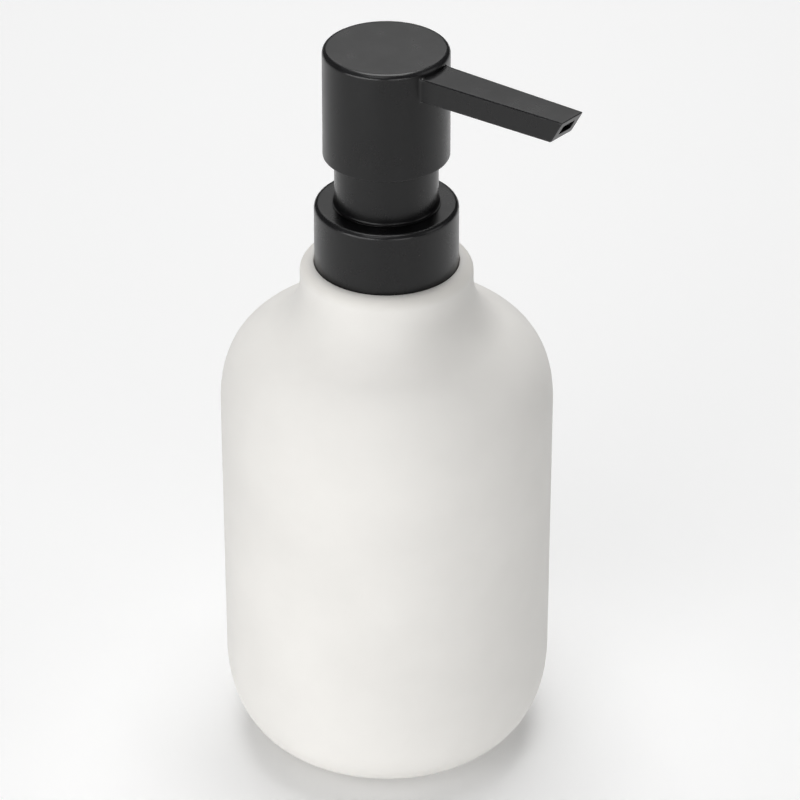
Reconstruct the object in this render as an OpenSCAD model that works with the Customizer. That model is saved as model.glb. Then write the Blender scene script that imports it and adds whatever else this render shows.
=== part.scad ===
// Soap pump dispenser: a matt stoneware bottle with a screw-on lotion pump.
// Origin: centre of the base, on the surface the bottle stands on. +Z is up and the spout points along +X.

/* [Bottle] */
// Outer diameter of the body
bottle_d = 76; // [64:0.5:92]
// Height from the foot ring to the lip
bottle_h = 125.3; // [104:0.1:151]
// Thickness of the cast wall
bottle_wall = 4; // [3:0.1:5]
// Width of the rounding between foot ring and wall
foot_round_w = 18.4; // [15:0.1:19]
// Height of the rounding between foot ring and wall
foot_round_h = 23.2; // [19:0.1:28]
// Height from the start of the shoulder to the lip
shoulder_h = 36.2; // [32:0.1:44]
// Slope of the shoulder where it runs into the neck, in degrees
shoulder_slope = 26.2; // [20:0.1:32]
// Height from where the shoulder's slope would meet the neck to the lip
neck_h = 13.2; // [12:0.1:16]
// Length of the rounding between shoulder and neck, measured up the neck
neck_round = 8.6; // [6:0.1:9.6]
// Thickness of the lip around the collar
lip_wall = 2.94; // [2.4:0.02:3.6]
// Depth of the recess inside the lip
recess_h = 5; // [4:0.1:6]

/* [Foot pad] */
// Diameter of the non-slip pad
pad_d = 36; // [30:0.5:38]
// Thickness of the pad
pad_t = 1; // [0.8:0.1:1.2]
// How far the pad stands out of the foot ring
pad_proud = 0.3; // [0.2:0.05:0.5]

/* [Neck thread] */
// Outer diameter of the neck thread
thread_d = 27.4; // [22.8:0.1:33]
// Depth of the thread
thread_depth = 1.25; // [1:0.05:1.5]
// Rise of the thread in one turn
thread_pitch = 4.23; // [3.6:0.01:4.4]
// Turns of thread
thread_turns = 1.5; // [1.2:0.1:1.6]
// Wall of the insert under its thread
insert_wall = 1.85; // [1.5:0.05:2.2]
// Height of the threaded tube above the insert's flange
finish_h = 12; // [11.4:0.1:14.4]
// Length of the insert's glued plug
insert_plug_h = 9.5; // [8:0.1:10]

/* [Collar] */
// Height of the collar
collar_h = 17.25; // [17:0.05:20.7]
// Wall of the threaded nut
nut_wall = 1.3; // [1:0.05:1.6]
// Wall of the collar shell at its foot
collar_wall = 0.85; // [0.7:0.05:1.2]
// Rounding of the collar's top edge
collar_round = 1.15; // [0.6:0.05:1.3]

/* [Sleeve] */
// Outer diameter of the sleeve
sleeve_d = 23.2; // [20:0.1:28]
// Wall of the sleeve
sleeve_wall = 1.1; // [0.9:0.05:1.3]

/* [Pump engine] */
// Travel of the head
stroke = 11.5; // [9.5:0.1:13.8]
// Bore of the pump barrel
barrel_d = 13; // [10.8:0.1:15.6]
// Wall of the pump barrel
barrel_wall = 1.1; // [0.9:0.05:1.3]
// Height of the piston
piston_h = 7; // [5.8:0.1:8.4]
// Outer diameter of the upper stem
stem_d = 8.4; // [8:0.1:9]
// Wire diameter of the spring
spring_wire = 0.9; // [0.7:0.05:1.1]
// Turns of the spring, with its two closed ends
spring_turns = 8; // [6:1:9]
// Diameter of the inlet ball
inlet_ball_d = 4.8; // [4.2:0.1:5.2]
// Diameter of the outlet ball
outlet_ball_d = 4; // [3.6:0.1:4.4]
// Lift of the inlet ball
inlet_lift = 1.5; // [1.2:0.1:1.8]
// Lift of the outlet ball
outlet_lift = 1.2; // [1:0.1:1.4]
// Outer diameter of the dip tube
tube_d = 5.6; // [4.8:0.1:6.4]
// Wall of the dip tube
tube_wall = 0.8; // [0.6:0.05:1]

/* [Head] */
// Height of the head
head_h = 25.86; // [24.5:0.02:31]
// Wall of the head
head_wall = 1.38; // [1.2:0.02:1.7]
// Thickness of the head's roof
head_roof = 1.96; // [1.6:0.02:2.4]
// Rounding of the head's top edge
head_round = 1.25; // [0.6:0.05:1.5]

/* [Spout] */
// Reach of the spout from the axis to the tip of its top edge
spout_reach = 51.5; // [42.9:0.1:61.8]
// Width of the spout where it leaves the head
spout_root_w = 8.94; // [7.6:0.02:10.6]
// Width of the spout at its tip
spout_tip_w = 7.2; // [6.2:0.05:8.6]
// Height of the spout
spout_h = 5.46; // [5:0.02:5.8]
// Rise of the spout towards its tip, in degrees
spout_rise = 2.4; // [0:0.1:3]
// Undercut of the end face, in degrees from upright
spout_cut = 31.5; // [20:0.5:40]
// Depth of the spout's top below the head's top, at the head
spout_drop = 1.74; // [1.5:0.02:2.4]
// Rounding of the spout's long edges
spout_round = 0.45; // [0.2:0.05:0.7]
// Wall of the spout
spout_wall = 0.9; // [0.7:0.05:1]
// Wall of the tube inside the spout
nozzle_wall = 0.7; // [0.4:0.05:0.8]
// Thickness of the spout's end lip, which holds the tube in
nozzle_lip = 1.2; // [0.8:0.1:2]

/* [Clearances] */
// Radial gap of a glued or pressed joint
press_gap = 0.05; // [0.02:0.01:0.1]
// Radial gap of a sliding or turning fit
running_gap = 0.08; // [0.05:0.01:0.1]
// Gap between pieces that move past each other
free_gap = 0.3; // [0.25:0.05:0.4]
// Gap between the collar and the lip around it
lip_gap = 0.35; // [0.3:0.05:0.5]
// Gap left under the head when it is pressed home
head_rest_gap = 0.65; // [0.5:0.05:1]
// Gap between the sleeve and the head's inner wall
head_gap = 1.15; // [1.1:0.05:1.4]
// Height of the dip tube's end above the bottle's floor
tube_floor_gap = 3; // [2:0.5:6]

/* [Hidden] */
$fn = 96;
curve_steps = 16;
round_steps = 8;

// Room round a ball in its cage, between butted ends, and past what a cutting piece cuts
cage_gap = 0.7;
end_gap = 0.1;
overcut = 1;

// Where a 45 degree seat starts under a ball, and the bore below it
seat_gap = 0.03;
function ball_bore_r(ball_r) = ball_r * 0.62;
function cone_foot_z(ball_z, ball_r) = ball_z - (ball_r + seat_gap) * sqrt(2) + ball_bore_r(ball_r);

// Radii, from the thread outwards
bottle_r = bottle_d / 2;
thread_r = thread_d / 2;
thread_root_r = thread_r - thread_depth;
finish_bore_r = thread_root_r - insert_wall;
nut_inner_r = thread_r + 0.35;
nut_crest_r = thread_root_r + free_gap;
nut_r = nut_inner_r + nut_wall;
collar_inner_r = nut_r + press_gap;
collar_r = collar_inner_r + collar_wall;
collar_top_r = collar_r * 0.9945;
recess_r = collar_r + lip_gap;
neck_r = recess_r + lip_wall;
neck_bore_r = thread_r + 0.2;
insert_flange_r = recess_r - 0.4;
seal_r = neck_bore_r + 0.1;

// Radii of the pump, from the barrel outwards
barrel_r = barrel_d / 2;
barrel_outer_r = barrel_r + barrel_wall;
ring_wall = 1.1;
ring_r = min(barrel_r + 2.7, finish_bore_r - free_gap);
ring_bore_r = ring_r - ring_wall;
pump_flange_r = nut_inner_r - 1.45;
gasket_inner_r = ring_r + press_gap;
nut_hole_r = ring_r + 0.25;
sleeve_r = sleeve_d / 2;
sleeve_inner_r = sleeve_r - sleeve_wall;
chaplet_r = sleeve_inner_r - press_gap;
stem_r = stem_d / 2;
guide_bore_r = stem_r + running_gap;
guide_r = guide_bore_r + 1.3;
rod_r = stem_r - 1.2;
rod_bore_r = rod_r - 1.6;
head_inner_r = sleeve_r + head_gap;
head_r = head_inner_r + head_wall;
head_top_r = head_r * 0.9938;
spring_r = barrel_r - spring_wire / 2 - 1.15;
inlet_ball_r = inlet_ball_d / 2;
outlet_ball_r = outlet_ball_d / 2;
tube_r = tube_d / 2;

// Heights of the bottle and its insert
foot_z = pad_proud;
foot_r = bottle_r - foot_round_w;
wall_z0 = foot_z + foot_round_h;
lip_z = foot_z + bottle_h;
wall_z1 = lip_z - shoulder_h;
neck_z = lip_z - neck_h;
lip_inner_round = 0.35;
lip_outer_round = lip_wall - lip_inner_round;
ledge_z = lip_z - recess_h;
seal_t = 0.8;
insert_flange_z0 = ledge_z + seal_t;
insert_flange_z1 = insert_flange_z0 + 1.2;
finish_z = insert_flange_z1 + finish_h;

// Heights of the collar and the pieces clamped in it
collar_z0 = insert_flange_z1 + 0.4;
collar_z1 = collar_z0 + collar_h;
collar_roof = 1.4;
nut_roof = 1.5;
nut_z0 = collar_z0 + 0.4;
nut_z1 = collar_z1 - collar_roof - press_gap;
pump_flange_z1 = nut_z1 - nut_roof - 0.1;
gasket_t = 1.2;
pump_flange_z0 = finish_z + gasket_t;
ring_z1 = nut_z1 + 0.2;
chaplet_floor_t = 1.2;
sleeve_z0 = nut_z1 + 0.25;

// Heights of the head
head_z0 = collar_z1 + stroke + head_rest_gap;
head_z1 = head_z0 + head_h;
head_roof_z = head_z1 - head_roof;
spout_z = head_z1 - spout_drop;
block_z0 = spout_z - spout_h - 0.1;
boss_z0 = head_z0 + 7.6;
boss_r = stem_r + 2;
stem_z1 = boss_z0 + 4;
guide_z1 = boss_z0 - stroke - 0.5;
sleeve_z1 = block_z0 - stroke - 0.4;

// Heights of the pump engine
piston_z1 = pump_flange_z0 - 4.75;
piston_z0 = piston_z1 - piston_h;
guide_z0 = piston_z1 + free_gap;
rod_flange_z1 = piston_z0 - 0.1;
rod_flange_z0 = rod_flange_z1 - 1.4;
rod_z1 = piston_z1 + 8.5;
spring_spare = 3.8;
spring_h = spring_turns * spring_wire + stroke + spring_spare;
seat_z1 = rod_flange_z0 - spring_h;
seat_z0 = seat_z1 - 1.5;
inlet_ball_z = seat_z0 - inlet_lift - 0.1 - inlet_ball_r;
outlet_ball_z = stem_z1 + 0.1 - outlet_lift - 0.1 - outlet_ball_r;
socket_z1 = cone_foot_z(inlet_ball_z, inlet_ball_r) - 1;
socket_z0 = socket_z1 - 9.5;
tube_z1 = socket_z1 - 0.4;
tube_z0 = foot_z + bottle_wall + tube_floor_gap;

// Thread form: half widths of the ridge at its wall and at its crest
ridge_wall_half = 1.15;
ridge_crest_half = 0.55;
ridge_offset = 1.75;
ridge_sink = 0.3;
ridge_fade = 40;
ridge_steps = 36;
male_z0 = finish_z - 0.35 - ridge_wall_half - thread_turns * thread_pitch;
female_z0 = male_z0 - ridge_offset;

// A cubic curve, its direction, and the same curve moved inwards by a wall
function curve(p, t) =
    pow(1 - t, 3) * p[0] + 3 * t * pow(1 - t, 2) * p[1] + 3 * t * t * (1 - t) * p[2] + pow(t, 3) * p[3];
function curve_dir(p, t) =
    pow(1 - t, 2) * (p[1] - p[0]) + 2 * t * (1 - t) * (p[2] - p[1]) + t * t * (p[3] - p[2]);
function curve_in(p, t, wall) =
    let (d = curve_dir(p, t)) curve(p, t) + wall * [-d[1], d[0]] / norm(d);
function arc(centre, r, a0, a1) =
    [for (i = [0:round_steps]) let (a = a0 + (a1 - a0) * i / round_steps) centre + r * [cos(a), sin(a)]];

// Revolves a closed outline given as [radius, height] points
module revolve(outline) {
    rotate_extrude() polygon(outline);
}

// A plain ring or washer
module ring(inner_r, outer_r, z0, z1) {
    revolve([[inner_r, z0], [outer_r, z0], [outer_r, z1], [inner_r, z1]]);
}

// Joins a row of sections, each a list of points, into one solid
module loft(sections) {
    n = len(sections);
    m = len(sections[0]);
    walls = [for (i = [0:n - 2], j = [0:m - 1])
        each [[i * m + j, i * m + (j + 1) % m, (i + 1) * m + (j + 1) % m],
              [i * m + j, (i + 1) * m + (j + 1) % m, (i + 1) * m + j]]];
    caps = [[for (j = [m - 1:-1:0]) j], [for (j = [0:m - 1]) (n - 1) * m + j]];
    polyhedron([for (s = sections) each s], concat(walls, caps));
}

// One section of a thread ridge: a trapezium on the ray at angle a, sunk into its wall.
// depth is negative on an inner thread, and fade is the share of it that stands here
function ridge_section(wall_r, depth, fade, z, a) =
    let (slope = (ridge_wall_half - ridge_crest_half) / abs(depth),
         base_r = wall_r - sign(depth) * ridge_sink,
         base_half = ridge_wall_half + slope * ridge_sink,
         crest_r = wall_r + depth * fade,
         crest_half = ridge_wall_half - slope * abs(depth) * fade,
         outline = [[base_r, -base_half], [crest_r, -crest_half], [crest_r, crest_half], [base_r, base_half]],
         order = depth > 0 ? [0, 1, 2, 3] : [3, 2, 1, 0])
    [for (k = order) [outline[k][0] * cos(a), outline[k][0] * sin(a), z + outline[k][1]]];

// A thread ridge that fades in and out at its two ends
module thread_ridge(wall_r, depth, z0) {
    turn = 360 * thread_turns;
    steps = round(ridge_steps * thread_turns);
    loft([for (i = [0:steps])
        let (a = turn * i / steps,
             fade = max(0.12, min(1, min(a, turn - a) / ridge_fade)))
        ridge_section(wall_r, depth, fade, z0 + thread_pitch * a / 360, a)]);
}

// Bottle outline curves, with how far each handle reaches along its tangent
foot_pull = [0.667, 0.595];
shoulder_pull = 0.6;
neck_pull = 0.6;
foot_curve = [
    [foot_r, foot_z],
    [foot_r + foot_round_w * foot_pull[0], foot_z],
    [bottle_r, wall_z0 - foot_round_h * foot_pull[1]],
    [bottle_r, wall_z0]
];
shoulder_end = [neck_r + neck_round * cos(shoulder_slope), neck_z - neck_round * sin(shoulder_slope)];
shoulder_w = bottle_r - shoulder_end[0];
shoulder_curve = [
    [bottle_r, wall_z1],
    [bottle_r, wall_z1 + (shoulder_end[1] - wall_z1) * shoulder_pull],
    shoulder_end + shoulder_w * shoulder_pull * [1, -tan(shoulder_slope)],
    shoulder_end
];
neck_foot = [neck_r, neck_z];
neck_straight_min = 0.2;
neck_end = [neck_r, min(neck_z + neck_round, lip_z - lip_outer_round - neck_straight_min)];
neck_curve = [
    shoulder_end,
    shoulder_end + (neck_foot - shoulder_end) * neck_pull,
    neck_end + (neck_foot - neck_end) * neck_pull,
    neck_end
];
neck_inside = curve_in(shoulder_curve, 1, bottle_wall);
neck_bore_round = 1.5;
neck_bore_z0 = neck_inside[1] + (neck_inside[0] - neck_bore_r) * tan(shoulder_slope);

module bottle() {
    color("whitesmoke")
    revolve(concat(
        [[0, pad_t], [pad_d / 2 + 0.2, pad_t], [pad_d / 2 + 0.2, foot_z]],
        [for (i = [0:curve_steps]) curve(foot_curve, i / curve_steps)],
        [for (i = [0:curve_steps]) curve(shoulder_curve, i / curve_steps)],
        [for (i = [1:curve_steps]) curve(neck_curve, i / curve_steps)],
        arc([neck_r - lip_outer_round, lip_z - lip_outer_round], lip_outer_round, 0, 90),
        [[recess_r + lip_inner_round, lip_z], [recess_r, lip_z - lip_inner_round]],
        [[recess_r, ledge_z], [neck_bore_r, ledge_z]],
        [[neck_bore_r, neck_bore_z0 + neck_bore_round]],
        [[neck_bore_r + neck_bore_round, neck_bore_z0 - neck_bore_round * tan(shoulder_slope)]],
        [for (i = [curve_steps:-1:0]) curve_in(shoulder_curve, i / curve_steps, bottle_wall)],
        [for (i = [curve_steps:-1:0]) curve_in(foot_curve, i / curve_steps, bottle_wall)],
        [[0, foot_z + bottle_wall]]
    ));
}

// Soft disc that keeps the foot ring off the worktop
module foot_pad() {
    color("gainsboro") ring(0, pad_d / 2, 0, pad_t - 0.02);
}

// Threaded ring glued into the neck, which the collar screws onto
module neck_insert() {
    plug_z0 = insert_flange_z0 - insert_plug_h;
    plug_r = neck_bore_r - press_gap;
    plug_core_r = plug_r - 0.5;
    tip_edge = 0.4;
    rib_count = 3;
    rib_h = 1.4;
    rib_root = 1;
    rib_pitch = (insert_plug_h - rib_root) / rib_count;
    color("white") {
        revolve([
            [finish_bore_r, plug_z0], [plug_core_r, plug_z0], [plug_core_r, insert_flange_z0],
            [insert_flange_r, insert_flange_z0], [insert_flange_r, insert_flange_z1],
            [thread_root_r, insert_flange_z1], [thread_root_r, finish_z - tip_edge],
            [thread_root_r - tip_edge, finish_z], [finish_bore_r, finish_z]
        ]);
        for (i = [0:rib_count - 1])
            ring(plug_r - rib_root, plug_r, plug_z0 + i * rib_pitch, plug_z0 + i * rib_pitch + rib_h);
        thread_ridge(thread_root_r, thread_depth, male_z0);
    }
}

// Silicone ring between the insert's flange and the ledge in the neck
module insert_seal() {
    color("silver") ring(seal_r, insert_flange_r - 0.1, ledge_z, insert_flange_z0);
}

// Inner nut of the collar, with the thread that grips the neck
module closure_nut() {
    color("dimgray") {
        revolve([
            [nut_inner_r, nut_z0], [nut_r, nut_z0], [nut_r, nut_z1],
            [nut_hole_r, nut_z1], [nut_hole_r, nut_z1 - nut_roof], [nut_inner_r, nut_z1 - nut_roof]
        ]);
        thread_ridge(nut_inner_r, nut_crest_r - nut_inner_r, female_z0);
    }
}

// Smooth outer shell of the collar, pressed over the nut
module collar_shell() {
    foot_edge = 0.2;
    hole_r = sleeve_r + 0.15;
    color([0.2, 0.2, 0.21])
    revolve(concat(
        [[collar_inner_r, collar_z0], [collar_r - foot_edge, collar_z0], [collar_r, collar_z0 + foot_edge]],
        arc([collar_top_r - collar_round, collar_z1 - collar_round], collar_round, 0, 90),
        [[hole_r, collar_z1], [hole_r, collar_z1 - collar_roof]],
        [[collar_inner_r, collar_z1 - collar_roof]]
    ));
}

// Sealing washer between the neck's rim and the pump's flange
module neck_gasket() {
    color("linen") ring(gasket_inner_r, thread_root_r + 0.1, finish_z, pump_flange_z0);
}

// Pump barrel with its flange, inlet seat and dip tube socket
module pump_housing() {
    seat_foot = cone_foot_z(inlet_ball_z, inlet_ball_r);
    bore_r = ball_bore_r(inlet_ball_r);
    cage_r = inlet_ball_r + cage_gap;
    socket_r = tube_r + press_gap;
    socket_outer_r = socket_r + 1.15;
    cage_outer_r = max(cage_r + 1.6, socket_outer_r + 0.4);
    cage_z1 = seat_z0 - 2.8;
    barrel_z0 = seat_z0 - 0.8;
    ring_z0 = pump_flange_z0 - 4.8;
    ring_slant_z0 = ring_z0 - 2;
    step_z0 = piston_z1 + 0.6;
    step_z1 = piston_z1 + 1.4;
    vent_r = 0.6;
    color("white")
    difference() {
        revolve([
            [socket_r, socket_z0], [socket_outer_r, socket_z0], [socket_outer_r, socket_z1],
            [cage_outer_r, seat_foot], [cage_outer_r, cage_z1], [barrel_outer_r, barrel_z0],
            [barrel_outer_r, ring_slant_z0], [ring_r, ring_z0], [ring_r, pump_flange_z0],
            [pump_flange_r, pump_flange_z0], [pump_flange_r, pump_flange_z1], [ring_r, pump_flange_z1],
            [ring_r, ring_z1], [ring_bore_r, ring_z1], [ring_bore_r, step_z1],
            [barrel_r, step_z0], [barrel_r, seat_z0], [cage_r, seat_z0],
            [cage_r, seat_foot + cage_r - bore_r], [bore_r, seat_foot], [bore_r, socket_z1],
            [socket_r, socket_z1]
        ]);
        translate([0, 0, piston_z0 + piston_h / 2])
            rotate([0, 90, 0])
                cylinder(r = vent_r, h = 2 * barrel_outer_r, $fn = 32);
    }
}

// Snap-in stem guide, which keeps the piston in and carries the sleeve
module chaplet() {
    plug_r = ring_bore_r - press_gap;
    plug_inner_r = plug_r - 0.9;
    plug_z0 = piston_z1 + 1.6;
    floor_z0 = ring_z1 - 1;
    floor_z1 = ring_z1 + chaplet_floor_t;
    cup_inner_r = chaplet_r - 1;
    cup_z1 = floor_z1 + 5.8;
    edge = 0.3;
    color("white")
    revolve([
        [guide_bore_r, guide_z0], [guide_r, guide_z0], [guide_r, floor_z0],
        [plug_inner_r, floor_z0], [plug_inner_r, plug_z0], [plug_r, plug_z0],
        [plug_r, ring_z1], [chaplet_r, ring_z1], [chaplet_r, cup_z1 - edge], [chaplet_r - edge, cup_z1],
        [cup_inner_r, cup_z1], [cup_inner_r, floor_z1], [guide_r, floor_z1],
        [guide_r, guide_z1], [guide_bore_r + edge, guide_z1], [guide_bore_r, guide_z1 - edge]
    ]);
}

// Fixed sleeve that the head slides down over
module sleeve() {
    bead_z0 = collar_z1 + 0.12;
    bead_r = 0.5;
    bead_edge = 0.1;
    tip_edge = 0.4;
    color([0.2, 0.2, 0.21])
    revolve(concat(
        [[sleeve_inner_r, sleeve_z0], [sleeve_r, sleeve_z0], [sleeve_r, bead_z0]],
        [[sleeve_r + bead_r, bead_z0]],
        arc([sleeve_r + bead_r, bead_z0 + bead_edge + bead_r], bead_r, 270, 180),
        [[sleeve_r, sleeve_z1 - tip_edge], [sleeve_r - tip_edge, sleeve_z1], [sleeve_inner_r, sleeve_z1]]
    ));
}

// Perforated seat for the spring, which also stops the inlet ball's lift
module ball_retainer() {
    hole_r = barrel_r * 0.22;
    port_count = 6;
    port_r = barrel_r * 0.13;
    port_ring_r = barrel_r * 0.49;
    color("white")
    difference() {
        ring(hole_r, barrel_r - press_gap, seat_z0, seat_z1);
        for (i = [0:port_count - 1])
            rotate([0, 0, i * 360 / port_count])
                translate([port_ring_r, 0, seat_z0 - overcut])
                    cylinder(r = port_r, h = seat_z1 - seat_z0 + 2 * overcut, $fn = 24);
    }
}

module inlet_ball() {
    color("lightgray") translate([0, 0, inlet_ball_z]) sphere(r = inlet_ball_r);
}

// Suction tube, cut on a slant so that it cannot seal itself on the floor
module dip_tube() {
    slant = 45;
    color("aliceblue")
    difference() {
        ring(tube_r - tube_wall, tube_r, tube_z0, tube_z1);
        translate([0, 0, tube_z0 + tube_r])
            rotate([0, slant, 0])
                translate([-tube_d * 2, -tube_d, -tube_d * 3])
                    cube([tube_d * 4, tube_d * 2, tube_d * 3]);
    }
}

// Return spring: two closed ends and open turns between them
module spring() {
    wire_r = spring_wire / 2;
    ring_steps = 18;
    sides = 8;
    coil_gap = 0.05;
    dead_rise = spring_wire * 1.02;
    open_turns = spring_turns - 2;
    open_rise = (spring_h - spring_wire - 2 * coil_gap - 2 * dead_rise) / open_turns;
    function height_at(turn) =
        turn < 1 ? dead_rise * turn
        : turn < 1 + open_turns ? dead_rise + open_rise * (turn - 1)
        : dead_rise + open_rise * open_turns + dead_rise * (turn - 1 - open_turns);
    color("silver")
    loft([for (i = [0:spring_turns * ring_steps])
        let (turn = i / ring_steps, z = seat_z1 + coil_gap + wire_r + height_at(turn))
        [for (k = [0:sides - 1])
            let (w = 360 * k / sides, r = spring_r + wire_r * cos(w))
            [r * cos(360 * turn), r * sin(360 * turn), z + wire_r * sin(w)]]]);
}

// Piston with a wiping lip at each end
module piston() {
    lip_r = barrel_r - running_gap + 0.02;
    lip_edge_r = lip_r - 0.3;
    lip_h = 1.4;
    slant_h = 0.5;
    web_r = barrel_r - 0.7;
    cup_r = lip_r - 0.8;
    cup_floor_r = lip_r - 1;
    cup_z0 = piston_z1 - 1.2;
    hub_r = rod_r + running_gap;
    hub_outer_r = rod_r + 1.6;
    hub_z1 = piston_z1 - 0.1;
    color("ivory")
    revolve([
        [hub_r, piston_z0], [lip_edge_r, piston_z0], [lip_r, piston_z0 + slant_h], [lip_r, piston_z0 + lip_h],
        [web_r, piston_z0 + lip_h + slant_h], [web_r, piston_z1 - lip_h - slant_h], [lip_r, piston_z1 - lip_h],
        [lip_r, piston_z1 - slant_h], [lip_edge_r, piston_z1], [cup_r, piston_z1], [cup_floor_r, cup_z0],
        [hub_outer_r, cup_z0], [hub_outer_r, hub_z1], [hub_r, hub_z1]
    ]);
}

// Rod under the piston, with the flange that the spring pushes on
module lower_stem() {
    flange_r = spring_r + spring_wire / 2 + 0.2;
    edge = 0.3;
    color("white")
    revolve([
        [rod_bore_r, rod_flange_z0], [flange_r, rod_flange_z0], [flange_r, rod_flange_z1], [rod_r, rod_flange_z1],
        [rod_r, rod_z1 - edge], [rod_r - edge, rod_z1], [rod_bore_r, rod_z1]
    ]);
}

// Hollow stem from the piston up into the head, with the outlet seat in its top
module upper_stem() {
    socket_r = rod_r + press_gap;
    channel_r = ball_bore_r(outlet_ball_r);
    cage_r = outlet_ball_r + cage_gap;
    seat_foot = cone_foot_z(outlet_ball_z, outlet_ball_r);
    foot = piston_z1 + end_gap;
    socket_z1 = rod_z1 + end_gap;
    edge = 0.3;
    color("white")
    revolve([
        [socket_r, foot], [stem_r, foot], [stem_r, stem_z1 - edge],
        [stem_r - edge, stem_z1], [cage_r, stem_z1], [cage_r, seat_foot + cage_r - channel_r],
        [channel_r, seat_foot], [channel_r, socket_z1], [socket_r, socket_z1]
    ]);
}

module outlet_ball() {
    color("lightgray") translate([0, 0, outlet_ball_z]) sphere(r = outlet_ball_r);
}

// Spout axis frame: x runs along the spout from the head's wall, z = 0 is its top face
spout_root_x = head_top_r * cos(asin(spout_root_w / 2 / head_top_r));
spout_length = (spout_reach - spout_root_x) / cos(spout_rise);
nozzle_x0 = -4.5;
channel_inset = spout_wall + press_gap + nozzle_wall;
function spout_half_w(x) = (spout_root_w + (spout_tip_w - spout_root_w) * x / spout_length) / 2;

module in_spout_frame() {
    translate([spout_root_x, 0, spout_z]) rotate([0, -spout_rise, 0]) children();
}

// Thin slice across the spout at x, set in from its faces and tipped back by a cut angle
module spout_slice(x, inset, tip_angle) {
    slice_t = 0.02;
    edge_min = 0.15;
    tall = (spout_h - 2 * inset) / cos(tip_angle);
    wide = 2 * (spout_half_w(x) - inset);
    edge = max(edge_min, spout_round - inset / 3);
    translate([x, 0, 0])
        rotate([0, tip_angle, 0])
            translate([-slice_t, 0, -inset / cos(tip_angle) - tall / 2])
                rotate([90, 0, 90])
                    linear_extrude(slice_t)
                        offset(r = edge, $fn = 24)
                            square([wide - 2 * edge, tall - 2 * edge], center = true);
}

// Tapered bar from x0 to the end face, set in from the spout's outside
module spout_bar(x0, inset, past_end) {
    in_spout_frame()
        hull() {
            spout_slice(x0, inset, 0);
            spout_slice(spout_length + past_end, inset, spout_cut);
        }
}

// Inner body of the head: stem socket, outlet channel and the skirt that grips the shell
module actuator_core() {
    skirt_r = head_inner_r - press_gap;
    skirt_inner_r = sleeve_r + free_gap + 0.05;
    skirt_z0 = boss_z0 + 5;
    plate_z1 = head_roof_z - press_gap;
    plate_z0 = plate_z1 - 1.6;
    block_w = spout_root_w + 0.6;
    block_h = plate_z1 - block_z0 - 0.5;
    rib_count = 6;
    rib_sink = 0.5;
    rib_z0 = block_z0 + 1;
    bar_w = 1;
    bar_h = 1.6;
    riser_r = 2.3;
    socket_r = stem_r + press_gap;
    socket_z1 = stem_z1 + end_gap;
    color("gainsboro")
    difference() {
        union() {
            revolve([
                [0, socket_z1], [socket_r, socket_z1], [socket_r, boss_z0], [boss_r, boss_z0],
                [boss_r, plate_z0], [skirt_inner_r, plate_z0], [skirt_inner_r, skirt_z0],
                [skirt_r, skirt_z0], [skirt_r, plate_z1], [0, plate_z1]
            ]);
            intersection() {
                translate([0, -block_w / 2, block_z0])
                    cube([head_inner_r, block_w, block_h]);
                translate([0, 0, block_z0]) cylinder(r = skirt_r, h = block_h);
            }
            for (i = [1:rib_count - 1])
                rotate([0, 0, i * 360 / rib_count])
                    translate([boss_r - rib_sink, -bar_w / 2, rib_z0])
                        cube([skirt_inner_r - boss_r + 2 * rib_sink, bar_w, plate_z1 - overcut - rib_z0]);
        }
        difference() {
            translate([0, 0, stem_z1]) cylinder(r = riser_r, h = spout_z - spout_h / 2 - stem_z1);
            translate([-boss_r, -bar_w / 2, stem_z1 - overcut]) cube([2 * boss_r, bar_w, bar_h + overcut]);
        }
        spout_bar(-spout_root_x, channel_inset, 0);
        spout_bar(nozzle_x0 - end_gap, spout_wall, 0);
    }
}

// Straight tube that carries the soap from the core to the spout's end
module nozzle_tube() {
    color("dimgray")
    difference() {
        spout_bar(nozzle_x0, spout_wall + press_gap, -nozzle_lip - press_gap);
        spout_bar(nozzle_x0 - overcut, channel_inset, overcut);
    }
}

// Outer shell of the head, moulded in one with the hollow spout
module head_shell() {
    foot_edge = 0.3;
    spout_x0 = -2;
    bore_x0 = -4;
    color([0.2, 0.2, 0.21])
    difference() {
        union() {
            revolve(concat(
                [[0, head_z0], [head_r - foot_edge, head_z0], [head_r, head_z0 + foot_edge]],
                arc([head_top_r - head_round, head_z1 - head_round], head_round, 0, 90),
                [[0, head_z1]]
            ));
            spout_bar(spout_x0, 0, 0);
        }
        translate([0, 0, head_z0 - overcut]) cylinder(r = head_inner_r, h = head_roof_z - head_z0 + overcut);
        spout_bar(bore_x0, spout_wall, -nozzle_lip);
        spout_bar(bore_x0, channel_inset, overcut);
    }
}

bottle();
foot_pad();
neck_insert();
insert_seal();
closure_nut();
collar_shell();
neck_gasket();
pump_housing();
chaplet();
sleeve();
ball_retainer();
inlet_ball();
dip_tube();
spring();
piston();
lower_stem();
upper_stem();
outlet_ball();
actuator_core();
nozzle_tube();
head_shell();
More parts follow.
